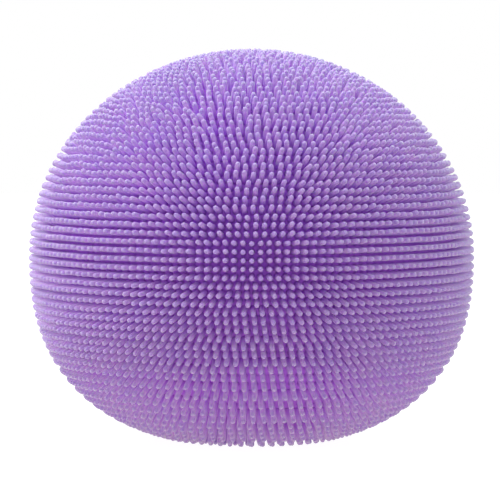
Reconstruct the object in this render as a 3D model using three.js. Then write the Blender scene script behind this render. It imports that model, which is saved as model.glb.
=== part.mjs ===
// A soft bristled massage ball: a rubber skin covered all over in short moulded bristles, with a
// gel-filled liner inside it and a push-in plug in the filler port underneath.
// Millimetres, +Z up, origin on the floor under the centre of the ball. The ball is modelled as it
// lies, sagged a little under its own weight and flat where it touches the floor.

import * as THREE from "three";

// Driving dimensions
const RADIUS = 57.5; // equator, at the bristle tips
const UPPER_HEIGHT = 53.4; // equator to the topmost tips
const LOWER_HEIGHT = 49.3; // equator to the lowest tips, if nothing pressed them flat
const PRESSED_FLAT = 2.3; // how much of that height the floor takes away
const LOWER_POWER = 2.4; // superellipse power of the lower half; 2 would be an ellipse
const BRISTLE_LENGTH = 5.1;
const GAP = 0.3; // running gap between neighbouring pieces

const SKIN_WALL = 2.0;
const LINER_WALL = 0.8;

const PORT_RADIUS = 4.5; // filler port through the skin's thickened boss
const BOSS_RADIUS = 8.0;
const BOSS_HEIGHT = 4.0; // above the inside of the skin
const STEM_RADIUS = 3.1; // the plug's stem, inside the liner's neck
const FLANGE_RADIUS = 7.5;
const FLANGE_THICKNESS = 1.5;
const FLANGE_CHAMFER = 0.6;
const BARB_RADIUS = 4.4;
const BARB_LENGTH = 3.4;
const BARB_LAND = 0.7; // straight part of the barb under its taper
const FOOT_INNER_RADIUS = 8.0; // the bristles leave the plug's flange free

// Facets and bands
const ARCS = 14; // equal lengths of the tip profile, from the lowest point to the topmost
const FOOT_ARCS = 2;
const LOWER_BANDS = 4;
const BELLY_BANDS = 2;
const UPPER_BANDS = 5;
const TIP_CHORDS = 2; // chords across one arc, at the bristle tips
const SEGMENTS = 40;
const PLUG_SEGMENTS = 24;

const EQUATOR_Z = LOWER_HEIGHT - PRESSED_FLAT;

// How far each surface lies inside the bristle tips
const SKIN_OUT = BRISTLE_LENGTH + GAP;
const SKIN_IN = SKIN_OUT + SKIN_WALL;
const LINER_OUT = SKIN_IN + GAP;
const LINER_IN = LINER_OUT + LINER_WALL;
const FILLING_OUT = LINER_IN + GAP;

// Half a section of the ball at a depth under the bristle tips, from its lowest point to its topmost:
// an ellipse above the equator and a squarer superellipse below it.
class Meridian extends THREE.Curve {
  constructor(depth) {
    super();
    this.depth = depth;
    this.arcLengthDivisions = 400;
  }
  getPoint(t) {
    const angle = Math.PI * (t - 0.5);
    const power = t < 0.5 ? 2 / LOWER_POWER : 1;
    const height = (t < 0.5 ? LOWER_HEIGHT : UPPER_HEIGHT) - this.depth;
    const across = Math.max(Math.cos(angle), 0) ** power;
    const up = Math.sign(angle) * Math.abs(Math.sin(angle)) ** power;
    const onAxis = t <= 0 || t >= 1;
    const r = onAxis ? 0 : (RADIUS - this.depth) * across;
    return new THREE.Vector2(r, EQUATOR_Z + height * up);
  }
}

const TIPS = new Meridian(0);
const GAP_ARCS = (GAP * ARCS) / TIPS.getLength();

// The point at a depth under the tips, on the bristle line that is `arc` arcs up the tip profile.
function surface(depth, arc) {
  return new Meridian(depth).getPoint(TIPS.getUtoTmapping(arc / ARCS));
}

// Points along a surface from one arc number to another, both included, a chord or more to each arc.
function run(depth, from, to, chordsPerArc = 1) {
  const count = Math.ceil(Math.abs(to - from)) * chordsPerArc;
  return Array.from({ length: count + 1 }, (_, i) =>
    surface(depth, from + ((to - from) * i) / count),
  );
}

const at = (r, z) => new THREE.Vector2(r, z);
const lowest = (depth) => EQUATOR_Z - (LOWER_HEIGHT - depth);

// A solid of revolution about Z, from a profile that runs anticlockwise round the material.
function turned(name, profile, material, segments = SEGMENTS) {
  const geometry = new THREE.LatheGeometry(profile, segments);
  geometry.rotateX(Math.PI / 2);
  const mesh = new THREE.Mesh(geometry, material);
  mesh.name = name;
  return mesh;
}

const rubber = (color, roughness) =>
  new THREE.MeshStandardMaterial({ color, roughness, metalness: 0 });

// A ring of bristles, as the space that its rows fill: from the skin to the tips, between the two
// bristle lines that bound it, short of the next ring by a gap.
function bristleBand(name, from, to) {
  const end = to - GAP_ARCS;
  const loop = [...run(0, from, end, TIP_CHORDS), ...run(BRISTLE_LENGTH, end, from)];
  return turned(name, [...loop, loop[0]], rubber(0xa98bd4, 0.55));
}

// The crown's bristles close over the axis, so their band is a dome.
function bristleCrown() {
  const profile = [
    ...run(BRISTLE_LENGTH, ARCS, ARCS - 1),
    ...run(0, ARCS - 1, ARCS, TIP_CHORDS),
  ];
  return turned("bristles_crown", profile, rubber(0xb79bdf, 0.55));
}

// The bristles that the ball stands on: pressed flat by the floor, and open round the plug.
function bristleFoot() {
  const flat = (1 - (EQUATOR_Z / LOWER_HEIGHT) ** LOWER_POWER) ** (1 / LOWER_POWER);
  const end = FOOT_ARCS - GAP_ARCS;
  const loop = [
    at(FOOT_INNER_RADIUS, 0),
    at(flat * RADIUS, 0),
    ...run(0, 1, end, TIP_CHORDS).filter((p) => p.y > GAP),
    ...run(BRISTLE_LENGTH, end, 1),
    at(FOOT_INNER_RADIUS, lowest(BRISTLE_LENGTH)),
  ];
  return turned("bristles_foot", [...loop, loop[0]], rubber(0x9a74b8, 0.6));
}

// The rubber skin, one moulding with its bristles, with the filler port's boss inside it.
function outerSkin() {
  const bossTop = lowest(SKIN_IN) + BOSS_HEIGHT;
  const profile = [
    ...run(SKIN_IN, ARCS, 1),
    at(BOSS_RADIUS, lowest(SKIN_IN)),
    at(BOSS_RADIUS, bossTop),
    at(PORT_RADIUS, bossTop),
    at(PORT_RADIUS, lowest(SKIN_OUT)),
    ...run(SKIN_OUT, 1, ARCS),
  ];
  return turned("outer_skin", profile, rubber(0x7b45ad, 0.5));
}

const SHELF = lowest(SKIN_IN) + BOSS_HEIGHT + GAP; // the liner's floor, over the boss
const NECK_RADIUS = PORT_RADIUS - GAP;

// The thin liner that holds the gel, with its neck down through the port.
function innerLiner() {
  const beside = BOSS_RADIUS + GAP;
  const neckEnd = lowest(SKIN_OUT) + GAP;
  const profile = [
    ...run(LINER_IN, ARCS, 1),
    at(beside + LINER_WALL, lowest(LINER_IN)),
    at(beside + LINER_WALL, SHELF + LINER_WALL),
    at(NECK_RADIUS - LINER_WALL, SHELF + LINER_WALL),
    at(NECK_RADIUS - LINER_WALL, neckEnd),
    at(NECK_RADIUS, neckEnd),
    at(NECK_RADIUS, SHELF),
    at(beside, SHELF),
    at(beside, lowest(LINER_OUT)),
    ...run(LINER_OUT, 1, ARCS),
  ];
  return turned("inner_liner", profile, rubber(0xd9c8ec, 0.3));
}

const BARB_BOTTOM = SHELF + LINER_WALL + GAP;

// The gel, cast round the boss and the plug's barb.
function gelFilling() {
  const floor = BARB_BOTTOM;
  const beside = BOSS_RADIUS + LINER_WALL + 2 * GAP;
  const overBarb = BARB_BOTTOM + BARB_LENGTH + GAP;
  const profile = [
    at(0, overBarb),
    at(BARB_RADIUS + GAP, overBarb),
    at(BARB_RADIUS + GAP, floor),
    at(beside, floor),
    at(beside, lowest(FILLING_OUT)),
    ...run(FILLING_OUT, 1, ARCS),
  ];
  return turned("gel_filling", profile, rubber(0xe6dcf2, 0.25));
}

// The push-in plug: a flange outside, a stem in the liner's neck, and a barb inside.
function fillerPlug() {
  const flangeTop = lowest(SKIN_OUT) - GAP;
  const flangeBottom = flangeTop - FLANGE_THICKNESS;
  const profile = [
    at(0, flangeBottom),
    at(FLANGE_RADIUS - FLANGE_CHAMFER, flangeBottom),
    at(FLANGE_RADIUS, flangeBottom + FLANGE_CHAMFER),
    at(FLANGE_RADIUS, flangeTop),
    at(STEM_RADIUS, flangeTop),
    at(STEM_RADIUS, BARB_BOTTOM),
    at(BARB_RADIUS, BARB_BOTTOM),
    at(BARB_RADIUS, BARB_BOTTOM + BARB_LAND),
    at(STEM_RADIUS / 2, BARB_BOTTOM + BARB_LENGTH),
    at(0, BARB_BOTTOM + BARB_LENGTH),
  ];
  return turned("filler_plug", profile, rubber(0x8a5bb5, 0.45), PLUG_SEGMENTS);
}

// Bands that ride with the foot, then the belly's, which flatten, then those that ride with the crown
function bristleBands() {
  const groups = [
    ["bristles_lower", LOWER_BANDS],
    ["bristles_belly", BELLY_BANDS],
    ["bristles_upper", UPPER_BANDS],
  ];
  const bands = [];
  let arc = FOOT_ARCS;
  for (const [name, count] of groups) {
    for (let i = 1; i <= count; i++) {
      bands.push(bristleBand(`${name}_${i}`, arc, arc + 1));
      arc += 1;
    }
  }
  return bands;
}

const group = new THREE.Group();
group.add(outerSkin(), innerLiner(), gelFilling(), fillerPlug());
group.add(bristleFoot(), ...bristleBands(), bristleCrown());

export default group;
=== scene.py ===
"""A gel-filled massage ball, its rubber skin covered all over in short bristles: the looks, built
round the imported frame. Metres, +Z up, the same frame as the CAD."""

import math

import bpy
import numpy as np
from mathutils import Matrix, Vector


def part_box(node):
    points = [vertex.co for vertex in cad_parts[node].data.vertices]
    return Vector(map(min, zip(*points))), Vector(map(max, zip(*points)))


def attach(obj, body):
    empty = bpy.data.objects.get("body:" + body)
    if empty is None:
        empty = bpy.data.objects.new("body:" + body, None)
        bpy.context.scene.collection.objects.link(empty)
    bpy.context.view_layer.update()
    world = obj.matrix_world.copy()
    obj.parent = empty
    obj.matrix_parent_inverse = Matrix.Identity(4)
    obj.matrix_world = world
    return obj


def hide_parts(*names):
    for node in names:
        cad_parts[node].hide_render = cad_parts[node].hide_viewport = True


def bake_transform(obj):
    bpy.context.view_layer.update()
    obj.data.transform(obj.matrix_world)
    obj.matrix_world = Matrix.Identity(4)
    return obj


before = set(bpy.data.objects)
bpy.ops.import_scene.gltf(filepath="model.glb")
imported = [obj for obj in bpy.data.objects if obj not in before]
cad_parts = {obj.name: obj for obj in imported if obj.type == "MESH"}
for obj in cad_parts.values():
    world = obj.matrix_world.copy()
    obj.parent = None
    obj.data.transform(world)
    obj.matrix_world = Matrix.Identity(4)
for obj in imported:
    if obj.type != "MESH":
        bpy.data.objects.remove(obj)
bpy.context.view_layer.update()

# The ball's outline at the bristle tips
RADIUS = (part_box("bristles_belly_1")[1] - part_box("bristles_belly_1")[0]).x / 2
TOP_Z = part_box("bristles_crown")[1].z
EQUATOR_Z = 0.047
UPPER_HEIGHT = TOP_Z - EQUATOR_Z
LOWER_HEIGHT = 0.0493  # as if the floor pressed nothing flat
LOWER_POWER = 2.4

# The pieces inside, each by how far its surface lies inside the bristle tips
GAP = 0.0003  # between neighbouring pieces
LINER_WALL = 0.0008
SKIN_OUT = 0.0053
SKIN_IN = 0.0074
LINER_OUT = SKIN_IN + GAP
LINER_IN = LINER_OUT + LINER_WALL
GEL_OUT = LINER_IN + GAP

# The CAD's rings of bristles between foot and crown, in equal lengths of the outline
ARCS = 14
FOOT_ARCS = 2
BANDS = {"lower": 4, "belly": 2, "upper": 5}

# Rows of bristles, counted up and down from a first row, which is a little above the equator
FIRST_ROW_UP = 0.00176  # along the outline
ROW_PITCH = 0.002136
LOOSE_ROW = 14  # rows farther down than this one stand farther apart,
LOOSER = 0.45  # by this share of the pitch
POLE_MARGIN = 0.3  # pitches, at least, between a pole and the nearest row

# Bristles in a row
COLUMN_PITCH = 0.00216
WIDENING_ABOVE = 0.05  # of that pitch, from the equator to the top
WIDENING_BELOW = 0.21  # and to the bottom
FEWEST = 4
RUN_ROWS = 3.5  # rows that line up with each other, on the average
RUN_TURN = 0.45  # pitches that the pattern turns about Z from one such run to the next
STRAIGHT_ROWS = 4
ROW_TURN = 0.13  # and pitches from row to row past those
TOP_ROW = 11
TOP_TURN = 0.36  # and back from row to row above that one

# One bristle
ROOT_DEPTH = 0.0056  # inside the tips, and so a little inside the skin
ROOT_RADIUS = 0.00070
TIP_RADIUS = 0.00060
FLARE_RADIUS = 0.00092  # where it grows out of the skin
DOME = (0, 0.55, 1.1)  # radians up its round tip, where the rings are
SIDES = 8
PLUG_CLEARANCE = 0.0083  # radius that the bristles under the ball leave free

# How far tips lean out of line: all over the ball, and how much farther at its top
LONE_LEAN = (0.00005, 0.00024)  # each bristle on its own
SHARED_LEANS = (  # neighbours together, in waves whose length comes first
    (0.016, 0.00006, 0.00042),
    (0.006, 0.00003, 0.00014),
)
FLOOR_SPLAY = 0.02  # of its root's radius: how far the floor pushes a pressed bristle outwards
SEED = 11

# The studio's light from all round: its mean, and for each colour how it grows along X, Y and Z
SKY_LEVEL = 0.74
SKY = {"Red": (0.01, 0.39, 0.58), "Green": (0.01, 0.43, 0.94), "Blue": (0.01, 0.31, 0.55)}

FLOOR_SEEN = (0.95, 0.95, 0.95, 1)  # the backlit floor as it shows
FLOOR_LIGHT = (0.88, 0.88, 0.67, 1)  # and as it lights the ball
FLOOR_REACH = 40 * RADIUS  # far enough to have no edge in view

KEY_PLACE = (-0.45, -0.1, 0.8)  # a soft disk above and to the left
KEY_SIZE = 0.6
KEY_WATTS = 5

CAMERA_DISTANCE = 10 * RADIUS
CAMERA_ELEVATION = math.radians(3)
CAMERA_AIM = Vector((-0.0004, 0, 0.0483))
FRAMED = 0.1296  # width that the camera sees at the ball's centre


def outline(angle, depth):
    """Radius and height, at an angle above the equator, of the surface `depth` inside the tips."""
    angle = np.asarray(angle, float)
    lower = angle < 0
    power = np.where(lower, 2 / LOWER_POWER, 1.0)
    height = np.where(lower, LOWER_HEIGHT, UPPER_HEIGHT) - depth
    across = np.clip(np.cos(angle), 0, 1) ** power
    up = np.sign(angle) * np.abs(np.sin(angle)) ** power
    return (RADIUS - depth) * across, EQUATOR_Z + height * up


# The tips' outline, measured along it from its lowest point
OUTLINE_ANGLES = np.linspace(-math.pi / 2, math.pi / 2, 4001)
OUTLINE_STEPS = np.hypot(*np.diff(outline(OUTLINE_ANGLES, 0.0)))
OUTLINE_ARCS = np.concatenate([[0], np.cumsum(OUTLINE_STEPS)])
OUTLINE_LENGTH = OUTLINE_ARCS[-1]
EQUATOR_ARC = float(np.interp(0, OUTLINE_ANGLES, OUTLINE_ARCS))


def angle_at(arc):
    """The angle above the equator at a length along the tips' outline."""
    return float(np.interp(arc, OUTLINE_ARCS, OUTLINE_ANGLES))


def make_object(name, vertices, faces, material, attributes=None):
    """A smooth mesh object. Each array in `faces` holds faces of one corner count, a row each."""
    mesh = bpy.data.meshes.new(name)
    loops = np.concatenate([f.ravel() for f in faces])
    sizes = np.concatenate([np.full(len(f), f.shape[1]) for f in faces])
    mesh.vertices.add(len(vertices))
    mesh.vertices.foreach_set("co", np.ascontiguousarray(vertices, np.float32).ravel())
    mesh.loops.add(len(loops))
    mesh.loops.foreach_set("vertex_index", loops.astype(np.int32))
    mesh.polygons.add(len(sizes))
    starts = np.concatenate([[0], np.cumsum(sizes)[:-1]])
    mesh.polygons.foreach_set("loop_start", starts.astype(np.int32))
    for key, values in (attributes or {}).items():
        layer = mesh.attributes.new(key, "FLOAT", "POINT")
        layer.data.foreach_set("value", np.ascontiguousarray(values, np.float32))
    mesh.update(calc_edges=True)
    mesh.validate()
    mesh.shade_smooth()
    mesh.materials.append(material)
    obj = bpy.data.objects.new(name, mesh)
    bpy.context.collection.objects.link(obj)
    return obj


# ---- materials ----

def linear(hex_colour):
    """A linear RGBA colour from an sRGB hex string."""
    parts = [int(hex_colour[i : i + 2], 16) / 255 for i in (1, 3, 5)]
    return [((c + 0.055) / 1.055) ** 2.4 if c > 0.04045 else c / 12.92 for c in parts] + [1]


def new_material(name):
    """A new material, its node tree and its shader."""
    material = bpy.data.materials.new(name)
    material.use_nodes = True
    tree = material.node_tree
    return material, tree, tree.nodes["Principled BSDF"]


def node(tree, kind, **settings):
    """A new node, with settings given by the names of its inputs or properties."""
    made = tree.nodes.new(kind)
    for key, value in settings.items():
        if key in made.inputs:
            made.inputs[key].default_value = value
        else:
            setattr(made, key, value)
    return made


def ramp(tree, factor, stops):
    """The colour that a factor picks from a ramp of (place, sRGB hex) stops."""
    made = tree.nodes.new("ShaderNodeValToRGB")
    elements = made.color_ramp.elements
    while len(elements) < len(stops):
        elements.new(0.5)
    for element, (place, colour) in zip(elements, stops, strict=True):
        element.position = place
        element.color = linear(colour)
    tree.links.new(factor, made.inputs["Fac"])
    return made.outputs["Color"]


def soft_rubber(shader, roughness, weight, scale):
    """Translucent thermoplastic rubber: light spreads inside it, with a faint powdery bloom."""
    shader.inputs["Roughness"].default_value = roughness
    shader.inputs["IOR"].default_value = 1.45
    shader.inputs["Specular IOR Level"].default_value = 0.15
    shader.inputs["Subsurface Weight"].default_value = weight
    shader.inputs["Subsurface Radius"].default_value = (0.8, 1.1, 0.8)
    shader.inputs["Subsurface Scale"].default_value = scale
    shader.inputs["Sheen Weight"].default_value = 0.12
    shader.inputs["Sheen Tint"].default_value = (0.8, 0.66, 1.0, 1)
    shader.inputs["Sheen Roughness"].default_value = 0.45


def grain(tree, shader, size, strength, distance):
    """Fine moulded grain, as bump from a noise, which is given back."""
    place = tree.nodes.new("ShaderNodeTexCoord")
    noise = node(tree, "ShaderNodeTexNoise", Scale=1 / size, Detail=3.0)
    tree.links.new(place.outputs["Object"], noise.inputs["Vector"])
    bump = node(tree, "ShaderNodeBump", Strength=strength, Distance=distance)
    tree.links.new(noise.outputs["Fac"], bump.inputs["Height"])
    tree.links.new(bump.outputs["Normal"], shader.inputs["Normal"])
    return noise


def bristle_material():
    """Bristles: lavender, violet at the roots, each a shade apart from the next; paler up the shaft
    as painted light against the shade between neighbours, and darker over the round tip as painted
    shade against the light that it catches.
    """
    material, tree, shader = new_material("bristle_rubber")
    along = node(tree, "ShaderNodeAttribute", attribute_name="along")
    tone = node(tree, "ShaderNodeAttribute", attribute_name="tone")
    # Painted light and shade along each bristle: the shaft paler, to offset the shade between
    # neighbours, and the round tip darker, to offset the light that falls on it.
    body = ramp(tree, along.outputs["Fac"], [
        (0.0, "#c573f1"), (0.2, "#cc8cf2"), (0.45, "#d2a4f4"),
        (0.75, "#cca2e8"), (0.92, "#a782c9"), (1.0, "#9c7ec0"),
    ])
    tint = ramp(tree, tone.outputs["Fac"], [(0.0, "#f0ecff"), (0.5, "#fbf8fe"), (1.0, "#fff4fa")])
    mix = node(tree, "ShaderNodeMix", data_type="RGBA", blend_type="MULTIPLY")
    mix.inputs["Factor"].default_value = 0.55
    tree.links.new(body, mix.inputs["A"])
    tree.links.new(tint, mix.inputs["B"])
    tree.links.new(mix.outputs["Result"], shader.inputs["Base Color"])
    soft_rubber(shader, roughness=0.62, weight=0.95, scale=0.003)
    grain(tree, shader, size=0.0006, strength=0.03, distance=0.00002)
    return material


def skin_material():
    """The skin between the bristles: deep violet, mottled where the wall is thicker or thinner."""
    material, tree, shader = new_material("skin_rubber")
    soft_rubber(shader, roughness=0.5, weight=0.2, scale=0.001)
    noise = grain(tree, shader, size=0.0015, strength=0.3, distance=0.0001)
    colour = ramp(tree, noise.outputs["Fac"], [(0.3, "#bf6fec"), (0.7, "#c877f2")])
    tree.links.new(colour, shader.inputs["Base Color"])
    return material


def smooth_material(name, low, high, roughness, size):
    """A smooth moulded or cast material whose colour drifts between two shades."""
    material, tree, shader = new_material(name)
    soft_rubber(shader, roughness, weight=0.3, scale=0.002)
    noise = grain(tree, shader, size, strength=0.15, distance=0.0001)
    colour = ramp(tree, noise.outputs["Fac"], [(0.35, low), (0.65, high)])
    tree.links.new(colour, shader.inputs["Base Color"])
    return material


# ---- bristles ----

def rows():
    """Each row's angle above the equator, arc number, number of bristles and turn about Z. In
    front, rows line up in runs of three or four, and each run is about half a pitch round from
    the last. Low rows stand farther apart, and near the top the pattern turns back."""
    first = EQUATOR_ARC + FIRST_ROW_UP
    lowest = int(-first / ROW_PITCH)
    topmost = int((OUTLINE_LENGTH - first) / ROW_PITCH - POLE_MARGIN)
    for number in range(lowest, topmost + 1):
        loose = max(0, -number - LOOSE_ROW)
        arc = first + ROW_PITCH * (number - LOOSER * loose)
        if arc < POLE_MARGIN * ROW_PITCH:
            continue
        angle = angle_at(arc)
        widening = (WIDENING_BELOW if angle < 0 else WIDENING_ABOVE) * abs(math.sin(angle))
        round_ball = 2 * math.pi * float(outline(angle, 0.0)[0])
        count = max(FEWEST, round(round_ball / COLUMN_PITCH / (1 + widening)))
        run = (abs(number) + 1) // RUN_ROWS
        pitches = RUN_TURN * run + ROW_TURN * max(0, abs(number) - STRAIGHT_ROWS)
        pitches -= TOP_TURN * max(0, number - TOP_ROW)
        turn = -math.pi / 2 + 2 * math.pi / count * pitches
        yield angle, arc / OUTLINE_LENGTH * ARCS, count, turn


def drift(points, rng, wavelength, terms=9):
    """A smooth vector field, about one unit long: a sum of waves in random directions."""
    waves = rng.normal(size=(terms, 3))
    waves *= 2 * math.pi / wavelength / np.linalg.norm(waves, axis=1, keepdims=True)
    ways = rng.normal(size=(terms, 3))
    phase = rng.uniform(0, 2 * math.pi, terms)
    return np.sin(points @ waves.T + phase) @ ways / math.sqrt(terms)


def unit(vectors):
    """Each vector at a length of one."""
    return vectors / np.linalg.norm(vectors, axis=1, keepdims=True)


def across(vectors, axis):
    """The part of each vector that is square to its axis."""
    return vectors - axis * np.sum(vectors * axis, axis=1, keepdims=True)


def bristle_lines(rng):
    """Every bristle's root, its end as moulded, its end after it has leaned and its arc number.
    An end is the centre of the round tip."""
    roots, ends, arcs = [], [], []
    up = np.array([0, 0, 1.0])
    for angle, arc, count, turn in rows():
        tip_r, tip_z = outline(angle, 0.0)
        root_r, root_z = outline(angle, ROOT_DEPTH)
        if angle < 0 and root_r < PLUG_CLEARANCE:
            continue
        round_z = turn + 2 * math.pi * np.arange(count) / count
        around = np.stack([np.cos(round_z), np.sin(round_z), 0 * round_z], axis=1)
        roots.append(around * root_r + up * root_z)
        ends.append(around * tip_r + up * tip_z)
        arcs.append(np.full(count, arc))
    roots, ends, arcs = map(np.concatenate, (roots, ends, arcs))
    axis = unit(ends - roots)
    ends -= axis * TIP_RADIUS
    length = np.linalg.norm(ends - roots, axis=1, keepdims=True)
    height = np.clip((ends[:, 2:] - EQUATOR_Z) / UPPER_HEIGHT, 0, 1)
    all_over, at_top = LONE_LEAN
    lean = rng.normal(size=ends.shape) * (all_over + at_top * height)
    for wavelength, all_over, at_top in SHARED_LEANS:
        lean += drift(ends, rng, wavelength) * (all_over + at_top * height**1.5)
    leaned = roots + unit(ends + across(lean, axis) - roots) * length
    return roots, ends, leaned, arcs


def splay(roots, ends):
    """Turns the bristles under the ball outwards until their round tips just touch the floor."""
    line = ends - roots
    length = np.linalg.norm(line, axis=1)
    pressed = ends[:, 2] < TIP_RADIUS
    drop = np.where(pressed, roots[:, 2] - TIP_RADIUS, 0)
    level = np.sqrt(np.clip(length**2 - drop**2, 0, None))
    flat = unit(line[:, :2] + FLOOR_SPLAY * roots[:, :2])
    line[pressed] = np.column_stack([flat * level[:, None], -drop])[pressed]
    return roots + line


def taper(share):
    """A bristle's radius part of the way from its root to its tip."""
    return (1 - share) * ROOT_RADIUS + share * TIP_RADIUS


def bristle_stations():
    """Rings up a bristle: share of the way from root to end, distance beyond the end, radius."""
    dome = [(1, TIP_RADIUS * math.sin(a), TIP_RADIUS * math.cos(a)) for a in DOME]
    shaft = [(0.12, 0, taper(0)), (0.4, 0, taper(0.4)), (0.72, 0, taper(0.75))]
    return [(0, 0, FLARE_RADIUS), *shaft, *dome]


def bristle_rings(roots, middles, ends):
    """Each bristle's vertices: rings along a curve that leaves the skin square, then its peak."""
    turn = 2 * math.pi * np.arange(SIDES) / SIDES
    cosine, sine = np.cos(turn)[None, :, None], np.sin(turn)[None, :, None]
    start = unit(ends - roots)
    steep = np.abs(start[:, 2:]) >= 0.9  # too near Z to be crossed with it
    side = unit(np.cross(start, np.where(steep, [[1.0, 0, 0]], [[0, 0, 1.0]])))
    rings = []
    for s, beyond, radius in bristle_stations():
        centre = (1 - s) ** 2 * roots + 2 * s * (1 - s) * middles + s**2 * ends
        along = unit((1 - s) * (middles - roots) + s * (ends - middles))
        first = unit(across(side, along))
        second = np.cross(along, first)
        ring = first[:, None] * cosine + second[:, None] * sine
        rings.append((centre + along * beyond)[:, None] + ring * radius)
    peak = (ends + along * TIP_RADIUS)[:, None]
    return np.concatenate([*rings, peak], axis=1)


def bristle_mesh(name, roots, middles, ends, tones, material):
    """Round-tipped bristles as closed tubes, flared at the root."""
    vertices = bristle_rings(roots, middles, ends)
    stations = bristle_stations()
    each = vertices.shape[1]
    base = np.arange(len(roots))[:, None, None] * each
    i = np.arange(SIDES)
    j = (i + 1) % SIDES
    ring = np.stack([i, j, j + SIDES, i + SIDES], 1)
    quads = np.concatenate([ring + SIDES * k for k in range(len(stations) - 1)])
    quads = (quads[None] + base).reshape(-1, 4)
    last = SIDES * (len(stations) - 1)
    caps = np.stack([last + i, last + j, np.full(SIDES, each - 1)], 1)
    caps = (caps[None] + base).reshape(-1, 3)
    under = (i[::-1][None, None] + base).reshape(-1, SIDES)
    shares = [(s * (ROOT_DEPTH - TIP_RADIUS) + beyond) / ROOT_DEPTH for s, beyond, _ in stations]
    attributes = {
        "along": np.tile(np.repeat(shares, SIDES).tolist() + [1.0], len(roots)),
        "tone": np.repeat(tones, each),
    }
    return make_object(name, vertices.reshape(-1, 3), [quads, caps, under], material, attributes)


def band_names():
    """The CAD's rings of bristles, with the arc number that each starts at, from the bottom up."""
    names = {"foot": 0}
    start = FOOT_ARCS
    for group, count in BANDS.items():
        for number in range(1, count + 1):
            names[f"{group}_{number}"] = start
            start += 1
    names["crown"] = start
    return names


def build_bristles():
    """A pile of bristles for each of the CAD's rings."""
    rng = np.random.default_rng(SEED)
    material = bristle_material()
    roots, natural, ends, arcs = bristle_lines(rng)
    ends = splay(roots, ends)
    middles = roots + 0.5 * (natural - roots)  # so that each bristle bends from its moulded line
    tones = rng.random(len(roots))
    names = band_names()
    edges = [*names.values(), ARCS + 1]
    for name, start, stop in zip(names, edges, edges[1:]):
        here = (arcs >= start) & (arcs < stop)
        pile = bristle_mesh(
            f"pile_{name}", roots[here], middles[here], ends[here], tones[here], material
        )
        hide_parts(f"bristles_{name}")
        if name == "foot":
            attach(pile, "base")
        elif name == "crown":
            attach(pile, "crown")
        else:
            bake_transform(pile)


# ---- what the skin holds ----

LOWEST_ANGLE = -1.5  # where a turned surface may start, just short of the pole


def low(depth):
    """Height of the lowest point of the surface `depth` inside the tips."""
    return EQUATOR_Z - LOWER_HEIGHT + depth


# The filler port and its plug
PORT_RADIUS = 0.0045
BOSS_RADIUS = 0.008
BOSS_HEIGHT = 0.004
BOSS_TOP = low(SKIN_IN) + BOSS_HEIGHT
NECK_RADIUS = PORT_RADIUS - GAP
SHELF = BOSS_TOP + GAP  # the liner's underside, over the boss
STEM_RADIUS = 0.0031
FLANGE_RADIUS = 0.0075
FLANGE_THICKNESS = 0.0015
FLANGE_TOP = low(SKIN_OUT) - 0.0002  # just clear of the skin
FLANGE_BOTTOM = FLANGE_TOP - FLANGE_THICKNESS
FLANGE_EDGE = 0.0002  # small bevels
DISH_RADIUS = 0.003  # the hollow that a fingertip pushes
DISH_DEPTH = 0.0003
BARB_RADIUS = 0.0044
BARB_LAND = 0.0007  # straight part of the barb, under its taper
BARB_Z = SHELF + LINER_WALL + GAP
BARB_LENGTH = 0.0034


def turned(name, profile, material, segments=128):
    """A solid of revolution about Z. Its profile of (radius, height) closes or ends on the axis."""
    profile = np.array(profile, float)
    on_axis = profile[:, 0] < 1e-7
    turn = 2 * math.pi * np.arange(segments) / segments
    vertices, index = [], []
    for (r, z), pole in zip(profile, on_axis, strict=True):
        index.append((len(vertices), pole))
        if pole:
            vertices.append((0, 0, z))
        else:
            vertices.extend((r * math.cos(a), r * math.sin(a), z) for a in turn)
    i = np.arange(segments)
    j = (i + 1) % segments
    quads, triangles = [], []
    pairs = list(zip(index, index[1:])) + ([] if on_axis[0] else [(index[-1], index[0])])
    for (a, a_pole), (b, b_pole) in pairs:
        if a_pole and b_pole:
            continue
        if a_pole:
            triangles.append(np.stack([np.full(segments, a), b + j, b + i], 1))
        elif b_pole:
            triangles.append(np.stack([a + i, a + j, np.full(segments, b)], 1))
        else:
            quads.append(np.stack([a + i, a + j, b + j, b + i], 1))
    faces = [np.concatenate(f) for f in (quads, triangles) if f]
    return make_object(name, np.array(vertices), faces, material)


def surface(depth, low_radius, count=90):
    """Points up a surface to the top, from about where its radius is low_radius, underneath."""
    angles = np.linspace(-math.pi / 2, math.pi / 2, 40 * count)
    radii, _ = outline(angles, depth)
    first = angles[(angles > LOWEST_ANGLE) & (radii > low_radius)][0]
    places = np.linspace(first, math.pi / 2, count)
    r, z = outline(places, depth)
    r[-1] = 0
    return list(zip(r, z, strict=True))


def build_skin():
    """The skin, with the boss of the filler port inside it."""
    return turned("skin", [
        *surface(SKIN_IN, BOSS_RADIUS)[::-1], (BOSS_RADIUS, low(SKIN_IN)),
        (BOSS_RADIUS, BOSS_TOP), (PORT_RADIUS, BOSS_TOP), (PORT_RADIUS, low(SKIN_OUT)),
        *surface(SKIN_OUT, PORT_RADIUS),
    ], skin_material(), 192)


def build_liner():
    """The thin liner that keeps the gel off the skin, with its neck down through the port."""
    beside = BOSS_RADIUS + GAP
    inner_neck = NECK_RADIUS - LINER_WALL
    return turned("liner", [
        *surface(LINER_IN, beside + LINER_WALL)[::-1], (beside + LINER_WALL, SHELF + LINER_WALL),
        (inner_neck, SHELF + LINER_WALL), (inner_neck, low(SKIN_OUT)), (NECK_RADIUS, low(SKIN_OUT)),
        (NECK_RADIUS, SHELF), (beside, SHELF), *surface(LINER_OUT, beside),
    ], smooth_material("liner_film", "#cdbce6", "#dccff0", 0.3, 0.01))


def build_gel():
    """The gel, cast round the boss and the plug's barb."""
    beside = BOSS_RADIUS + GAP + LINER_WALL + GAP
    over_barb = BARB_Z + BARB_LENGTH + GAP
    return turned("gel", [
        (0, over_barb), (BARB_RADIUS + GAP, over_barb), (BARB_RADIUS + GAP, BARB_Z),
        (beside, BARB_Z), *surface(GEL_OUT, beside),
    ], smooth_material("gel", "#ddd3ec", "#ece6f6", 0.2, 0.02))


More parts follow.
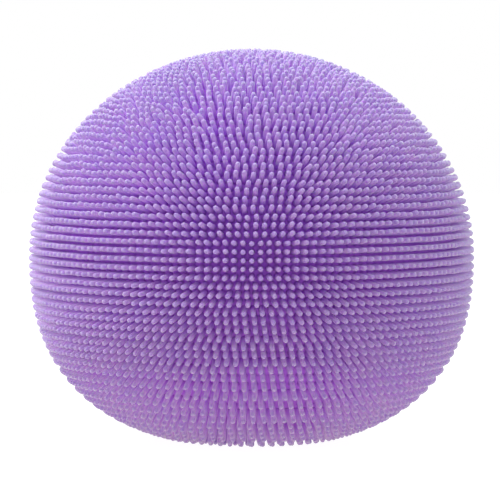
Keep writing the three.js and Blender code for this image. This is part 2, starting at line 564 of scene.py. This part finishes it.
def build_plug():
    """The push-in plug: a dished flange with bevelled edges, a stem and a barb."""
    dish = FLANGE_BOTTOM + DISH_DEPTH
    side = FLANGE_RADIUS - FLANGE_EDGE
    return turned("plug", [
        (0, dish), (DISH_RADIUS, dish), (DISH_RADIUS + 2 * FLANGE_EDGE, FLANGE_BOTTOM),
        (0.0068, FLANGE_BOTTOM), (side, dish), (FLANGE_RADIUS, FLANGE_BOTTOM + 4 * FLANGE_EDGE),
        (FLANGE_RADIUS, FLANGE_TOP - FLANGE_EDGE), (side, FLANGE_TOP),
        (STEM_RADIUS, FLANGE_TOP), (STEM_RADIUS, BARB_Z),
        (BARB_RADIUS, BARB_Z), (BARB_RADIUS, BARB_Z + BARB_LAND),
        (STEM_RADIUS / 2, BARB_Z + BARB_LENGTH - FLANGE_EDGE), (0, BARB_Z + BARB_LENGTH),
    ], smooth_material("plug_rubber", "#8458b4", "#9268c2", 0.4, 0.003), 96)


def build_inside():
    """The skin, the liner and the gel, left unattached in the frame, and the plug, attached to the
    base.
    """
    skin, liner, gel, plug = build_skin(), build_liner(), build_gel(), build_plug()
    for piece, stands_for, name in (
        (skin, "outer_skin", "skin_rubber"),
        (liner, "inner_liner", "liner_film"),
        (gel, "gel_filling", "gel"),
    ):
        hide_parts(stands_for)
        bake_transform(piece)

    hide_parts("filler_plug")
    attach(plug, "base")


# ---- floor, light and camera ----

def build_key_light():
    data = bpy.data.lights.new("key", "AREA")
    data.shape = "DISK"
    data.size = KEY_SIZE
    data.energy = KEY_WATTS
    light = bpy.data.objects.new("key", data)
    light.location = KEY_PLACE
    to_ball = Vector((0, 0, TOP_Z / 2)) - light.location
    light.rotation_euler = to_ball.to_track_quat("-Z", "Y").to_euler()
    bpy.context.collection.objects.link(light)


def floor_material():
    """A pale backlit floor, which looks brighter than it lights the ball."""
    material, tree, shader = new_material("pale_floor")
    shader.inputs["Roughness"].default_value = 0.9
    shader.inputs["Emission Strength"].default_value = 1.0
    noise = grain(tree, shader, size=0.003, strength=0.05, distance=0.0001)
    colour = ramp(tree, noise.outputs["Fac"], [(0.3, "#6f6e70"), (0.7, "#727173")])
    tree.links.new(colour, shader.inputs["Base Color"])
    path = node(tree, "ShaderNodeLightPath")
    glow = node(tree, "ShaderNodeMix", data_type="RGBA", A=FLOOR_LIGHT, B=FLOOR_SEEN)
    tree.links.new(path.outputs["Is Camera Ray"], glow.inputs["Factor"])
    tree.links.new(glow.outputs["Result"], shader.inputs["Emission Color"])
    return material


def build_floor():
    square = np.array([(-1, -1, 0), (1, -1, 0), (1, 1, 0), (-1, 1, 0)])
    face = np.array([[0, 1, 2, 3]])
    floor = make_object("floor", square * FLOOR_REACH, [face], floor_material())


def build_world():
    """White all round to look at. As a light it is brighter from above and behind, greener above
    and bluer in front."""
    world = bpy.data.worlds.new("studio")
    world.use_nodes = True
    tree = world.node_tree
    place = node(tree, "ShaderNodeTexCoord")
    colour = node(tree, "ShaderNodeCombineColor")
    for channel, towards in SKY.items():
        dot = node(tree, "ShaderNodeVectorMath", operation="DOT_PRODUCT")
        tree.links.new(place.outputs["Generated"], dot.inputs[0])
        dot.inputs[1].default_value = towards
        add = node(tree, "ShaderNodeMath", operation="ADD")
        tree.links.new(dot.outputs["Value"], add.inputs[0])
        add.inputs[1].default_value = SKY_LEVEL
        tree.links.new(add.outputs["Value"], colour.inputs[channel])
    white = node(tree, "ShaderNodeBackground", Color=(1, 1, 1, 1))
    light = tree.nodes["Background"]
    path = node(tree, "ShaderNodeLightPath")
    mix = node(tree, "ShaderNodeMixShader")
    tree.links.new(colour.outputs["Color"], light.inputs["Color"])
    tree.links.new(path.outputs["Is Camera Ray"], mix.inputs["Fac"])
    tree.links.new(light.outputs["Background"], mix.inputs[1])
    tree.links.new(white.outputs["Background"], mix.inputs[2])
    tree.links.new(mix.outputs["Shader"], tree.nodes["World Output"].inputs["Surface"])
    bpy.context.scene.world = world


def build_camera():
    data = bpy.data.cameras.new("camera")
    data.sensor_width = 36  # millimetres
    data.lens = data.sensor_width * CAMERA_DISTANCE / FRAMED
    data.clip_start = 0.01
    camera = bpy.data.objects.new("camera", data)
    back = Vector((0, -math.cos(CAMERA_ELEVATION), math.sin(CAMERA_ELEVATION)))
    camera.location = CAMERA_AIM + back * CAMERA_DISTANCE
    camera.rotation_euler = (-back).to_track_quat("-Z", "Y").to_euler()
    bpy.context.collection.objects.link(camera)
    bpy.context.scene.camera = camera
    bpy.context.scene.view_settings.view_transform = "Standard"


build_bristles()
build_inside()
build_floor()
build_world()
build_key_light()
build_camera()
